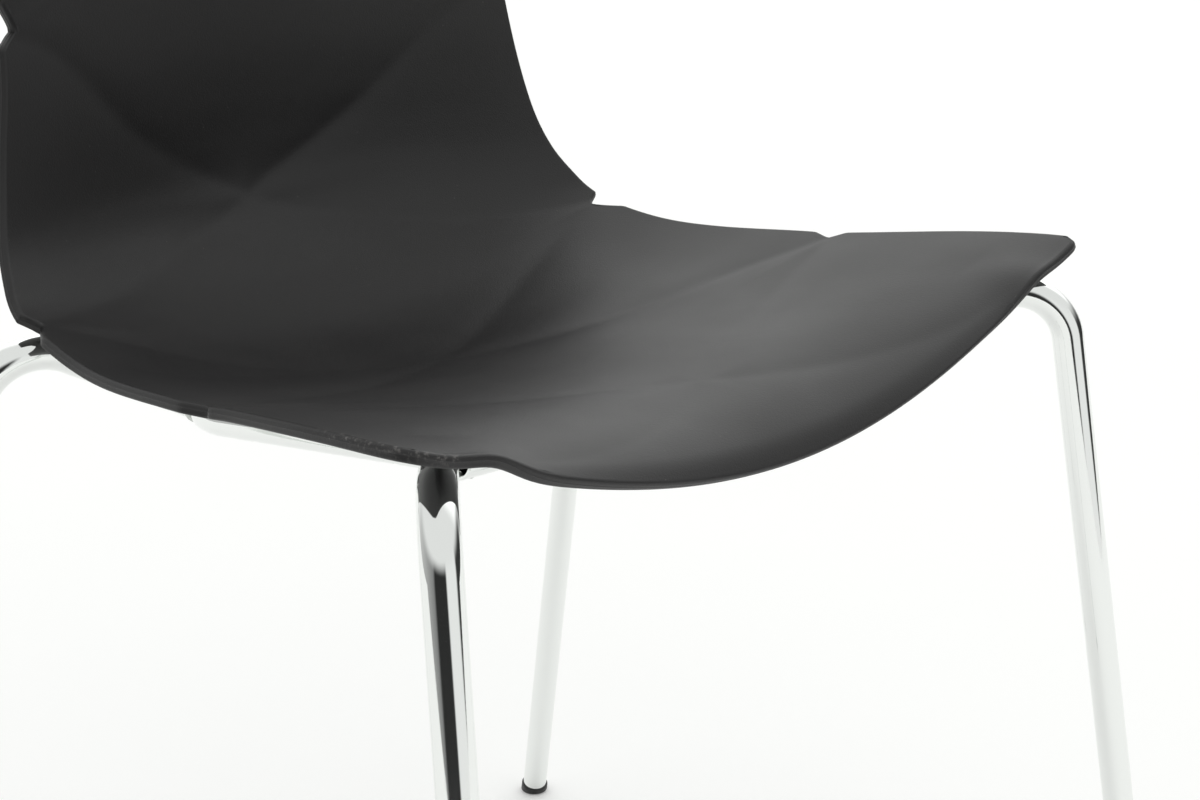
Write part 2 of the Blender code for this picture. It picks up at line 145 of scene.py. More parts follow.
RIM_STEPS = (18, 36, 54, 72, 90)  # degrees round each corner of the rim
BACK_FROM = 50 * MM  # above the seat's hollow, from where the shell is its back

# ---- Frame sizes --------------------------------------------------------------------------
TUBE_DIAMETER = 16 * MM
KNEE_RADIUS = 29 * MM
LOOP_RADIUS = 50 * MM
CROSS_BOW = 4 * MM
CROSS_Y = -92.5 * MM
FRONT_WELD_Y = -74 * MM
REAR_WELD_TURN = 45  # degrees round the loop's rear bend
# Each leg's bend: the corner of its centre line (x, y) and its rise above the weld.
KNEES = {"front": (0.2166, -0.1757, 0.0310), "rear": (0.2033, 0.1270, 0.0553)}
INSERT_CENTRE = 11.45 * MM  # from a rail's centre line up to the middle of a threaded insert
GLIDE_HEIGHT = 6.5 * MM
GLIDE_LIP = 1.0 * MM
WELD_BEAD = 2.6 * MM  # width of a weld's ripples
WELD_PITCH = 1.1 * MM  # from one ripple to the next
TUBE_WALL = 1.8 * MM
TUBE_SIDES = 56
BORE_DEPTH = 30 * MM  # how far the open ends of the front cross tube are hollow
BOSS_RADIUS = 8.4 * MM
BOSS_SEAT = 3 * MM  # how far a boss reaches down round its rail
BOSS_CHAMFER = 0.5 * MM
# A boss's flare into the wall: distances below the wall's underside and beyond the boss's radius.
BOSS_FLARE = (
    (-1.3 * MM, 3.4 * MM), (0.1 * MM, 2.5 * MM), (0.4 * MM, 1.6 * MM),
    (1.0 * MM, 0.8 * MM), (1.8 * MM, 0.25 * MM), (2.8 * MM, 0.0),
)
INSERT_BORE = 4.4 * MM
INSERT_HALF = 3.4 * MM  # half the depth of the bore above its insert's middle
FIT = 0.3 * MM  # between a rail and what sits on it
ACCESS_RADIUS = 4.8 * MM  # hole in a rail's lower wall for the screw's head
SADDLE_SEAT = 2.0  # millimetres above a rail's centre line, as for the next two
SCREW_HEAD_END = -1.3
SCREW_TOP = 14.0
# A screw's outline, from its socket round the head and up the shank: (radius, height above the
# head's end) in millimetres, and whether that ring is a hexagon of that width across its flats.
SCREW_OUTLINE = (
    (3.0, 1.8, True), (3.0, 0.2, True), (3.3, 0.0, True), (2.5, 0.0, False), (3.0, 0.1, False),
    (3.5, 0.4, False), (3.95, 1.0, False), (4.2, 1.8, False), (4.25, 2.6, False), (4.1, 3.0, False),
    (2.5, 3.0, False),
)
SHANK_OUTLINE = ((2.5, 0.8), (2.0, 0.0))  # its tip: (radius, depth below the top) in millimetres
WASHER_BELOW = ((2.9, 0.0), (4.2, 0.0), (4.5, 0.3))  # millimetres: radius, height above the seat
WASHER_ABOVE = (4.5, 4.2, 3.6, 2.9)  # radii of the rings that lie on the rail's bore
# A glide below its tube: insets from the lip and heights above the floor, then insets and drops
# below the tube's end, in millimetres. The stem plugs into the tube.
GLIDE_SOLE = ((1.6, 0.0), (0.7, 0.15), (0.15, 0.7), (0.0, 1.5))
GLIDE_SHOULDER = ((0.0, 0.9), (0.12, 0.45), (0.45, 0.12), (0.95, 0.0), (2.2, 0.0))
GLIDE_STEM = (3.2, 12)  # millimetres: inset from the lip, length
GATE_Y = 60 * MM
GATE_PAD = (  # the mark of the mould's gate: (radius, height)
    (7 * MM, 0.5 * MM), (7 * MM, -0.3 * MM), (6.6 * MM, -0.6 * MM), (2 * MM, -0.6 * MM),
    (1.6 * MM, -1.1 * MM),
)
GATE_SIDES = 40
ROUND_SIDES = 48  # of bosses, glides, screws and washers
CROSS_STEPS = 12  # steps along each half of the front cross tube
TUBE_CHAMFER = 0.4 * MM
WELD_STEPS = 72
WELD_LIFT = 0.15 * MM  # a bead's middle stands this far out along its branch

# ---- Studio light -----------------------------------------------------------------------------
BANK_DIRECTION = (0.72, 0.42, 0.52)
BANK_EDGE = (0.50, 0.90)  # cosines from the bank's middle, where its light starts and is full
BANK_LIGHT = 1.55
SKY_LIGHT = 0.85
HORIZON_TOP = (0.10, 0.42)  # sines of the elevations where the horizon fades into the ceiling
BACKDROP_LIGHT = 1.0
# Brightness of the horizon by direction, in degrees from +X towards +Y.
HORIZON = (
    (0, 0.7), (20, 1.1), (75, 1.1), (110, 0.6), (180, 0.25), (190, 0.03), (243, 0.03), (250, 0.9),
    (298, 0.9), (306, 0.04), (342, 0.04), (352, 0.4),
)
FLOOR_GLOW = 0.13
FLOOR_BEHIND = 8.0  # how far the floor reaches behind the chair
FLOOR_FRONT = 1.7  # and in front of it

# ---- Camera -----------------------------------------------------------------------------------
LENS = 61.35  # millimetres, on a sensor 36 mm wide
SENSOR_WIDTH = 36
CAMERA_PLACE = (-0.682, -0.668, 0.682)
CAMERA_TURN = (73.09, 0, -48.23)  # degrees


# ---- Helpers --------------------------------------------------------------------------------
def hex_colour(text):
    """An sRGB hex value as linear red, green, blue, alpha."""
    channels = [int(text[i : i + 2], 16) / 255 for i in (1, 3, 5)]
    linear = [c / 12.92 if c <= 0.04045 else ((c + 0.055) / 1.055) ** 2.4 for c in channels]
    return (*linear, 1)


def add_node(tree, kind, inputs=None, **settings):
    """Adds a node: settings are its properties, inputs its sockets' values or what links to them."""
    node = tree.nodes.new(kind)
    for key, value in settings.items():
        setattr(node, key, value)
    for key, value in (inputs or {}).items():
        if isinstance(value, bpy.types.NodeSocket):
            tree.links.new(value, node.inputs[key])
        else:
            node.inputs[key].default_value = value
    return node


def add_object(name, data, material=None):
    obj = bpy.data.objects.new(name, data)
    bpy.context.scene.collection.objects.link(obj)
    if material:
        data.materials.append(material)
    return obj


def mesh_from(name, points, faces, smooth_angle=40):
    mesh = bpy.data.meshes.new(name)
    mesh.from_pydata([tuple(p) for p in points], [], faces)
    mesh.validate()
    mesh.shade_smooth()
    mesh.set_sharp_from_angle(angle=radians(smooth_angle))
    return mesh


def swept(rings, closed=False):
    """Points and faces through equal rings, capped at both ends unless they close on themselves."""
    count = len(rings[0])
    points = [p for ring in rings for p in ring]
    faces = []
    for i in range(len(rings) if closed else len(rings) - 1):
        low = i * count
        high = (i + 1) % len(rings) * count
        for k in range(count):
            j = (k + 1) % count
            faces.append((low + k, low + j, high + j, high + k))
    if not closed:
        faces.append(tuple(range(count))[::-1])
        faces.append(tuple(range(len(points) - count, len(points))))
    return points, faces


def outward(mesh):
    """Makes every closed shell of the mesh face outwards."""
    bm = bmesh.new()
    bm.from_mesh(mesh)
    bmesh.ops.recalc_face_normals(bm, faces=bm.faces)
    bm.to_mesh(mesh)
    bm.free()
    return mesh


def joined(name, parts, smooth_angle=40):
    """One mesh of several (points, faces) shells."""
    points = []
    faces = []
    for some_points, some_faces in parts:
        start = len(points)
        points += [tuple(p) for p in some_points]
        faces += [tuple(start + k for k in face) for face in some_faces]
    return outward(mesh_from(name, points, faces, smooth_angle))


def turned(profile, sides, place=Matrix.Identity(4)):
    """A solid of revolution about the place's +Z, from (radius, height) pairs, both ends capped."""
    turn = 2 * pi / sides
    rings = []
    for radius, height in profile:
        ring = [(radius * cos(k * turn), radius * sin(k * turn), height) for k in range(sides)]
        rings.append([place @ Vector(p) for p in ring])
    return swept(rings)


def filleted(corners, radius, steps=20):
    """The polyline through corners with each inner corner rounded to an arc."""
    path = [corners[0]]
    for before, corner, after in zip(corners, corners[1:], corners[2:]):
        back = (before - corner).normalized()
        ahead = (after - corner).normalized()
        half = back.angle(ahead) / 2
        centre = corner + (back + ahead).normalized() * (radius / sin(half))
        start = corner + back * (radius / tan(half)) - centre
        axis = start.cross(corner + ahead * (radius / tan(half)) - centre).normalized()
        sweep = pi - 2 * half
        for i in range(steps + 1):
            path.append(centre + Matrix.Rotation(sweep * i / steps, 3, axis) @ start)
    path.append(corners[-1])
    return path


def finished(obj, slot, *replaced):
    """Puts a piece on the chair's one body, so that it rides with it, and hides the CAD nodes that it
    stands for.
    """
    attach(obj, "root")
    if replaced:
        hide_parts(*replaced)
    return obj


# ---- Materials ------------------------------------------------------------------------------
def new_material(name, colour, roughness, metallic=0.0):
    """A Principled material and its tree, shader and a node of Object coordinates."""
    material = bpy.data.materials.new(name)
    material.use_nodes = True
    tree = material.node_tree
    shader = tree.nodes["Principled BSDF"]
    shader.inputs["Base Color"].default_value = hex_colour(colour)
    shader.inputs["Roughness"].default_value = roughness
    shader.inputs["Metallic"].default_value = metallic
    coords = add_node(tree, "ShaderNodeTexCoord").outputs["Object"]
    return material, tree, shader, coords


def matt_polypropylene():
    """Black polypropylene from a spark-eroded mould: a fine even grain that turns gloss to a soft
    sheen, with paler rubbed patches along the rim and a few specks of dust."""
    material, tree, shader, coords = new_material("matt_black_polypropylene", "#1b1a1b", 0.5)
    shader.inputs["IOR"].default_value = 1.49
    # The grain is about 0.25 mm across on the real mould; it is drawn at 0.5 mm so that it shows.
    grain = add_node(
        tree, "ShaderNodeTexNoise",
        {"Vector": coords, "Scale": 1 / (0.5 * MM) / 2, "Detail": 3.0, "Roughness": 0.65},
    )
    cells = add_node(tree, "ShaderNodeTexVoronoi", {"Vector": coords, "Scale": 1 / (0.8 * MM)})
    clouds = add_node(tree, "ShaderNodeTexNoise", {"Vector": coords, "Scale": 1 / 0.09, "Detail": 4.0})
    height = add_node(
        tree, "ShaderNodeMath", {0: cells.outputs["Distance"], 1: 0.4, 2: grain.outputs["Fac"]},
        operation="MULTIPLY_ADD",
    )
    bump = add_node(
        tree, "ShaderNodeBump",
        {"Strength": 0.5, "Distance": 0.2 * MM, "Height": height.outputs[0]},
    )
    tree.links.new(bump.outputs["Normal"], shader.inputs["Normal"])
    # Handling leaves the sheen slightly uneven.
    sheen = add_node(
        tree, "ShaderNodeMapRange",
        {"Value": clouds.outputs["Fac"], "From Min": 0.3, "From Max": 0.7, "To Min": 0.46, "To Max": 0.54},
    )
    tree.links.new(sheen.outputs["Result"], shader.inputs["Roughness"])
    wear = add_node(tree, "ShaderNodeAttribute", attribute_name="rim_wear").outputs["Fac"]
    rub = add_node(
        tree, "ShaderNodeTexNoise",
        {"Vector": coords, "Scale": 1 / (2.2 * MM), "Detail": 5.0, "Roughness": 0.7},
    )
    patch = add_node(
        tree, "ShaderNodeMapRange",
        {"Value": rub.outputs["Fac"], "From Min": 0.52, "From Max": 0.66, "To Min": 0.0, "To Max": 1.0},
    )
    rubbed = add_node(
        tree, "ShaderNodeMath", {0: wear, 1: patch.outputs["Result"]}, operation="MULTIPLY"
    )
    dust = add_node(tree, "ShaderNodeTexVoronoi", {"Vector": coords, "Scale": 1 / (9 * MM)})
    speck = add_node(
        tree, "ShaderNodeMapRange",
        {"Value": dust.outputs["Distance"], "From Min": 0.022, "From Max": 0.034,
         "To Min": 0.5, "To Max": 0.0},
    )
    pale = add_node(
        tree, "ShaderNodeMath", {0: rubbed.outputs[0], 1: speck.outputs["Result"]}, operation="MAXIMUM"
    )
    tint = add_node(
        tree, "ShaderNodeMapRange",
        {"Value": clouds.outputs["Fac"], "From Min": 0.3, "From Max": 0.7, "To Min": 0.0, "To Max": 1.0},
    )
    body = add_node(
        tree, "ShaderNodeMix",
        {0: tint.outputs["Result"], 6: hex_colour("#191819"), 7: hex_colour("#1e1d1d")},
        data_type="RGBA",
    )
    colour = add_node(
        tree, "ShaderNodeMix",
        {0: pale.outputs[0], 6: body.outputs[2], 7: hex_colour("#6d6a68")},
        data_type="RGBA",
    )
    tree.links.new(colour.outputs[2], shader.inputs["Base Color"])
    return material


def bright_metal(name, colour, rough, grain_size, bump_height):
    """A plated or turned metal: a faint grain in its height, and handling marks in its gloss."""
    material, tree, shader, coords = new_material(name, colour, rough[0], metallic=1.0)
    smears = add_node(tree, "ShaderNodeTexNoise", {"Vector": coords, "Scale": 1 / 0.025, "Detail": 5.0})
    gloss = add_node(
        tree, "ShaderNodeMapRange",
        {"Value": smears.outputs["Fac"], "From Min": 0.35, "From Max": 0.75,
         "To Min": rough[0], "To Max": rough[1]},
    )
    tree.links.new(gloss.outputs["Result"], shader.inputs["Roughness"])
    grain = add_node(
        tree, "ShaderNodeTexNoise", {"Vector": coords, "Scale": 1 / grain_size / 2, "Detail": 2.0}
    )
    bump = add_node(
        tree, "ShaderNodeBump",
        {"Strength": 0.25, "Distance": bump_height, "Height": grain.outputs["Fac"]},
    )
    tree.links.new(bump.outputs["Normal"], shader.inputs["Normal"])
    return material


def black_nylon(name, colour, rough):
    """Glass-filled nylon from a smooth mould, dulled and greyed a little where it is scuffed."""
    material, tree, shader, coords = new_material(name, colour, rough)
    shader.inputs["IOR"].default_value = 1.53
    fine = add_node(
        tree, "ShaderNodeTexNoise", {"Vector": coords, "Scale": 1 / (0.6 * MM) / 2, "Detail": 4.0}
    )
    bump = add_node(
        tree, "ShaderNodeBump",
        {"Strength": 0.3, "Distance": 0.08 * MM, "Height": fine.outputs["Fac"]},
    )
    tree.links.new(bump.outputs["Normal"], shader.inputs["Normal"])
    scuffs = add_node(tree, "ShaderNodeTexNoise", {"Vector": coords, "Scale": 1 / (4 * MM), "Detail": 6.0})
    amount = add_node(
        tree, "ShaderNodeMapRange",
        {"Value": scuffs.outputs["Fac"], "From Min": 0.5, "From Max": 0.8, "To Min": 0.0, "To Max": 1.0},
    )
    mix = add_node(
        tree, "ShaderNodeMix",
        {0: amount.outputs["Result"], 6: hex_colour(colour), 7: hex_colour("#3a3a39")},
        data_type="RGBA",
    )
    tree.links.new(mix.outputs[2], shader.inputs["Base Color"])
    dull = add_node(
        tree, "ShaderNodeMath", {0: amount.outputs["Result"], 1: 0.2, 2: rough}, operation="MULTIPLY_ADD"
    )
    tree.links.new(dull.outputs[0], shader.inputs["Roughness"])
    return material


# ---- Geometry Nodes -----------------------------------------------------------------------------
def geometry_tree(name, **inputs):
    """An empty node group with these named inputs (name = socket type), and its input node."""
    tree = bpy.data.node_groups.new(name, "GeometryNodeTree")
    tree.interface.new_socket("Geometry", in_out="INPUT", socket_type="NodeSocketGeometry")
    for label, kind in inputs.items():
        tree.interface.new_socket(label, in_out="INPUT", socket_type=kind)
    tree.interface.new_socket("Geometry", in_out="OUTPUT", socket_type="NodeSocketGeometry")
    return tree, add_node(tree, "NodeGroupInput").outputs


def close_tree(tree, given, geometry):
    """Ends a group: real geometry rather than instances, smooth shading and the material."""
    real = add_node(tree, "GeometryNodeRealizeInstances", {"Geometry": geometry})
    smooth = add_node(tree, "GeometryNodeSetShadeSmooth", {"Geometry": real.outputs["Geometry"]})
    painted = add_node(
        tree, "GeometryNodeSetMaterial",
        {"Geometry": smooth.outputs["Geometry"], "Material": given["Material"]},
    )
    add_node(tree, "NodeGroupOutput", {"Geometry": painted.outputs["Geometry"]})
    return tree


def tube_tree():
    """A round tube along each line of edges, its ends filled."""
    tree, given = geometry_tree(
        "bent_tube", Radius="NodeSocketFloat", Sides="NodeSocketInt", Material="NodeSocketMaterial"
    )
    line = add_node(tree, "GeometryNodeMeshToCurve", {"Mesh": given["Geometry"]})
    profile = add_node(
        tree, "GeometryNodeCurvePrimitiveCircle",
        {"Resolution": given["Sides"], "Radius": given["Radius"]},
    )
    tube = add_node(
        tree, "GeometryNodeCurveToMesh",
        {"Curve": line.outputs["Curve"], "Profile Curve": profile.outputs["Curve"], "Fill Caps": True},
    )
    return close_tree(tree, given, tube.outputs["Mesh"])


def weld_tree():
    """The overlapping ripples of a hand-run weld bead along each closed line of edges."""
    tree, given = geometry_tree(
        "weld_bead", Pitch="NodeSocketFloat", Width="NodeSocketFloat", Material="NodeSocketMaterial"
    )
    line = add_node(tree, "GeometryNodeMeshToCurve", {"Mesh": given["Geometry"]})
    even = add_node(
        tree, "GeometryNodeResampleCurve",
        {"Curve": line.outputs["Curve"], "Length": given["Pitch"]}, mode="LENGTH",
    )
    ripple = add_node(tree, "GeometryNodeMeshUVSphere", {"Segments": 10, "Rings": 6, "Radius": 0.5})
    tangent = add_node(tree, "GeometryNodeInputTangent")
    turn = add_node(
        tree, "FunctionNodeAlignRotationToVector", {"Vector": tangent.outputs["Tangent"]}, axis="Z"
    )
    length = add_node(tree, "ShaderNodeMath", {0: given["Pitch"], 1: 1.9}, operation="MULTIPLY")
    size = add_node(
        tree, "ShaderNodeCombineXYZ",
        {"X": given["Width"], "Y": given["Width"], "Z": length.outputs[0]},
    )
    ripples = add_node(
        tree, "GeometryNodeInstanceOnPoints",
        {"Points": even.outputs["Curve"], "Instance": ripple.outputs["Mesh"],
         "Rotation": turn.outputs["Rotation"], "Scale": size.outputs["Vector"]},
    )
    return close_tree(tree, given, ripples.outputs["Instances"])


def copies_tree():
    """A copy of one part on each point, turned as the point's own attribute says."""
    tree, given = geometry_tree(
        "copies_on_joints", Part="NodeSocketObject", Material="NodeSocketMaterial"
    )
    part = add_node(tree, "GeometryNodeObjectInfo", {"Object": given["Part"]})
    turn = add_node(
        tree, "GeometryNodeInputNamedAttribute", {"Name": "turn"}, data_type="FLOAT_VECTOR"
    )
    rotation = add_node(tree, "FunctionNodeEulerToRotation", {"Euler": turn.outputs["Attribute"]})
    copies = add_node(
        tree, "GeometryNodeInstanceOnPoints",
        {"Points": given["Geometry"], "Instance": part.outputs["Geometry"],
         "Rotation": rotation.outputs["Rotation"]},
    )
    return close_tree(tree, given, copies.outputs["Instances"])


def grown(name, mesh, tree, smooth_angle=40, **values):
    """The plain mesh that a node group makes from this one."""
    obj = add_object(name, mesh)
    modifier = obj.modifiers.new(tree.name, "NODES")
    modifier.node_group = tree
    for item in tree.interface.items_tree:
        if item.in_out == "INPUT" and item.name in values:
            modifier[item.identifier] = values[item.name]
    graph = bpy.context.evaluated_depsgraph_get()
    made = bpy.data.meshes.new_from_object(
        obj.evaluated_get(graph), preserve_all_data_layers=True, depsgraph=graph
    )
    bpy.data.objects.remove(obj)
    made.set_sharp_from_angle(angle=radians(smooth_angle))
    return outward(made)


def lines_mesh(name, lines, closed=False):
    """A mesh of edges through each line of points."""
    points = []
    edges = []
    for line in lines:
        start = len(points)
        points += [tuple(p) for p in line]
        edges += [(start + i, start + i + 1) for i in range(len(line) - 1)]
        if closed:
            edges.append((start + len(line) - 1, start))
    mesh = bpy.data.meshes.new(name)
    mesh.from_pydata(points, edges, [])
    return mesh


# ---- Shell ----------------------------------------------------------------------------------------
def spline(rows):
    """SECTIONS at fractional rows on a Catmull-Rom spline."""
    last = len(SECTIONS) - 1
    i = np.clip(np.floor(rows).astype(int), 0, last - 1)
    t = (rows - i)[..., None]
    a, b, c, d = (SECTIONS[np.clip(i + k, 0, last)] for k in (-1, 0, 1, 2))
    slope = (c - a) * t + (2 * a - 5 * b + 4 * c - d) * t**2 + (3 * b - a - 3 * c + d) * t**3
    return b + slope / 2


def shell_points(rows, across):
    """Points of the shell's upper face; across runs from -1 at the left edge to 1 at the right."""
    v = spline(rows)
    edge_x = SHELL_WIDTH / 2 - v[..., 2]
    rise = CUP_ROUNDNESS * across**2 - (CUP_ROUNDNESS - 1) * across**6
    x = edge_x * across
    y = v[..., 0] + (v[..., 3] - v[..., 0]) * rise
    z = SEAT_HEIGHT + v[..., 1] + (v[..., 4] - v[..., 1]) * rise
    # The front edge's wings stand slightly fuller than the cup just inside the corners.
    wing = np.exp(-(((abs(x) - WING_X) / WING_SPREAD) ** 2)) * np.clip(1 - rows / FRONT_ROWS, 0, 1)
    z = z + WING_FULLNESS * wing
    return np.stack((x, y, z), axis=-1)


def notch_cuts(rows):
    """How far the side edge is notched at each row."""
    fine = np.linspace(0, len(SECTIONS) - 1, 4000)
    edge = shell_points(fine, np.ones_like(fine))
    steps = np.linalg.norm(np.diff(edge, axis=0), axis=1)
    along = np.concatenate(((0.0,), np.cumsum(steps)))
    here = np.interp(rows, fine, along)
    cut = np.zeros_like(rows)
    for notch, full, ahead, behind in NOTCHES:
        distance = here - np.interp(notch, fine, along)
        run = np.where(distance < 0, ahead, behind)
        depth = full * (1 - np.sqrt(distance**2 + NOTCH_SOFTNESS**2) / run)
        cut = np.maximum(cut, depth)
    return np.maximum(cut, 0)


def grid_rows():
    """The rows of the shell's grid, closer together at the notches and at both ends."""
    last = len(SECTIONS) - 1
    rows = [np.linspace(0, last, last * ROWS_PER_SECTION + 1)]
    reach, count = NOTCH_ROWS
    for notch, *_ in NOTCHES:
        rows.append(notch + np.linspace(-reach, reach, count))
    rows = np.unique(np.round(np.concatenate(rows), 4))
    # The first and last rows keep clear of the rim's rounding.
    rows = rows[(rows > FIRST_ROW) & (rows < last - LAST_ROW)]
    kept = [0.0]
    for row in rows:
        if row - kept[-1] > CLOSEST_ROWS:
            kept.append(row)
    return np.array([*kept, last])


def grid_columns():
    """The columns of the shell's grid, closer together at the side edges."""
    reach, count = MIDDLE_COLUMNS
    middle = np.linspace(-reach, reach, count)
    side = 1 - np.array(SIDE_COLUMNS)
    return np.concatenate((-side, middle, side[::-1]))


def rounded_rows(rows, columns):
    """The grid's rows bent in at the four corners, so that the shell's corners are round."""
    last = len(SECTIONS) - 1
    share = np.clip((abs(columns) - CORNER_START) / (1 - CORNER_START), 0, 1)
    inset = 1 - np.sqrt(1 - share**2 * CORNER_LIMIT)
    grid = np.repeat(rows[:, None], len(columns), axis=1)
    front = CORNER_FRONT * inset[None, :] * np.clip(1 - rows[:, None] / FRONT_ROWS, 0, 1)
    top = CORNER_TOP * inset[None, :] * np.clip(1 - (last - rows[:, None]) / TOP_ROWS, 0, 1)
    return grid + front - top


def fold_lines():
    """Each fold as (depth in metres, points along it) on the right half of the shell."""
    lines = []
    for depth, corners in FOLDS:
        share, row = np.array(corners, float).T
        knots = np.arange(len(corners))
        t = np.linspace(0, len(corners) - 1, FOLD_STEPS * (len(corners) - 1) + 1)
        pair = []
        for values in (share, row):
            line = np.interp(t, knots, values)
            pad = np.pad(line, FOLD_BLEND // 2, mode="reflect", reflect_type="odd")
            pair.append(np.convolve(pad, np.full(FOLD_BLEND, 1 / FOLD_BLEND), mode="valid"))
        lines.append((depth * MM, shell_points(pair[1], np.clip(pair[0], 0, 1))))
    return lines


def fold_depth(points):
    """How deep the folds press the surface in at each point."""
    flat = points.reshape(-1, 3).copy()
    flat[:, 0] = abs(flat[:, 0])
    deepest = np.zeros(len(flat))
    for depth, line in fold_lines():
        nearest = np.full(len(flat), np.inf)
        for a, b in zip(line, line[1:]):
            run = b - a
            share = np.clip((flat - a) @ run / (run @ run), 0, 1)
            gap = flat - a - share[:, None] * run
            nearest = np.minimum(nearest, (gap**2).sum(1))
        distance = np.sqrt(nearest + FOLD_SOFTNESS**2) - FOLD_SOFTNESS
        deepest = np.maximum(deepest, depth * np.exp(-distance / FOLD_WIDTH))
    return deepest.reshape(points.shape[:-1])


def normals_of(grid):
    along = np.gradient(grid, axis=0)
    across = np.gradient(grid, axis=1)
    normal = np.cross(across, along)
    return normal / np.linalg.norm(normal, axis=-1, keepdims=True)


def shell_grid():
    """The shell's upper face as a grid of points, its normals, and each point's wear."""
    rows = grid_rows()
    columns = grid_columns()
    row_grid = rounded_rows(rows, columns)
    cut = notch_cuts(rows) / (SHELL_WIDTH / 2 - spline(rows)[:, 2])
    squeeze = np.clip((abs(columns) - (1 - NOTCH_REACH)) / NOTCH_REACH, 0, 1)
    across = columns[None, :] - np.sign(columns)[None, :] * squeeze[None, :] * cut[:, None]
    grid = shell_points(row_grid, across)
    normal = normals_of(grid)
    grid = grid - normal * fold_depth(grid)[..., None]
    steps = np.linalg.norm(np.diff(grid, axis=0), axis=-1)
    from_front = np.concatenate((np.zeros((1, len(columns))), np.cumsum(steps, axis=0)))
    steps = np.linalg.norm(np.diff(grid, axis=1), axis=-1)
    from_left = np.concatenate((np.zeros((len(rows), 1)), np.cumsum(steps, axis=1)), axis=1)
    from_rim = np.minimum(
        np.minimum(from_front, from_front[-1:] - from_front),
        np.minimum(from_left, from_left[:, -1:] - from_left),
    )
    fading = np.clip((WEAR_ROWS[1] - rows[:, None]) / (WEAR_ROWS[1] - WEAR_ROWS[0]), 0, 1)
    rubbed = np.where(columns[None, :] < WEAR_EDGE, fading, 0.0)
    wear = np.exp(-from_rim / WEAR_REACH) * rubbed
    return grid, normals_of(grid), wear


def rim_profile():
    """(outward, up) pairs from the upper face's boundary round the rim to the underside's."""
    quarter = np.radians(RIM_STEPS)
    upper = [(RIM_RADIUS * (sin(t) - 1), RIM_RADIUS * (cos(t) - 1)) for t in quarter]
    lower = [
        (RIM_UNDER_RADIUS * (cos(t) - 1), RIM_UNDER_RADIUS * (1 - sin(t)) - SHELL_THICKNESS)
        for t in quarter
    ]
    middle = -SHELL_THICKNESS / 2
    flash = [(0, middle + FLASH_WIDTH / 2), (FLASH, middle), (0, middle - FLASH_WIDTH / 2)]
    return [*upper, *flash, (0.0, RIM_UNDER_RADIUS - SHELL_THICKNESS), *lower[:-1]]


def shell_parts():
    """The shell's closed skin as (points, faces), with the wear of each point."""
    grid, normal, wear = shell_grid()
    height, width = grid.shape[:2]
    index = np.arange(height * width).reshape(height, width)
    round_trip = np.concatenate((index[0, :-1], index[:-1, -1], index[-1, :0:-1], index[:0:-1, 0]))
    flat = grid.reshape(-1, 3)
    up = normal.reshape(-1, 3)
    under = flat - up * SHELL_THICKNESS
    edge = flat[round_trip].copy()
    edge_up = up[round_trip]
    ahead = np.roll(edge, -1, axis=0) - np.roll(edge, 1, axis=0)
    out = np.cross(ahead, edge_up)
    for _ in range(2):
        out = out / np.linalg.norm(out, axis=1, keepdims=True)
        out = np.roll(out, 1, axis=0) + 2 * out + np.roll(out, -1, axis=0)
    out = out / np.linalg.norm(out, axis=1, keepdims=True)
    flat[round_trip] = edge - out * RIM_RADIUS
    under[round_trip] = edge - out * RIM_UNDER_RADIUS - edge_up * SHELL_THICKNESS
    rings = [edge + out * reach + edge_up * rise for reach, rise in rim_profile()]
    points = np.concatenate((flat, under, *rings))
    count = len(flat)
    quads = np.stack((index[:-1, :-1], index[:-1, 1:], index[1:, 1:], index[1:, :-1]), -1).reshape(-1, 4)
    faces = [quads, quads[:, ::-1] + count]
    size = len(round_trip)
    borders = [round_trip]
    borders += [2 * count + k * size + np.arange(size) for k in range(len(rings))]
    borders.append(round_trip + count)
    for high, low in zip(borders, borders[1:]):
        faces.append(np.stack((low, np.roll(low, -1), np.roll(high, -1), high), -1))
    on_rim = wear.ravel()[round_trip]
    down_rim = np.interp(np.arange(len(rings)), (0, 3, 7, len(rings)), (1.0, 0.8, 0.25, 0.0))
    all_wear = np.concatenate((wear.ravel(), wear.ravel() * 0, *[on_rim * share for share in down_rim]))
    return points, np.concatenate(faces), all_wear


def nearest_wall(skin, x, y):
    """The point halfway through the seat's wall over (x, y), and the wall's normal there."""
    points, normals = skin
    flat = points.reshape(-1, 3)
    in_back = flat[:, 2] > SEAT_HEIGHT + BACK_FROM
    i = int(np.argmin(np.hypot(flat[:, 0] - x, flat[:, 1] - y) + in_back))
    normal = Vector(normals.reshape(-1, 3)[i])
    return Vector(flat[i]) - normal * (SHELL_THICKNESS / 2), normal


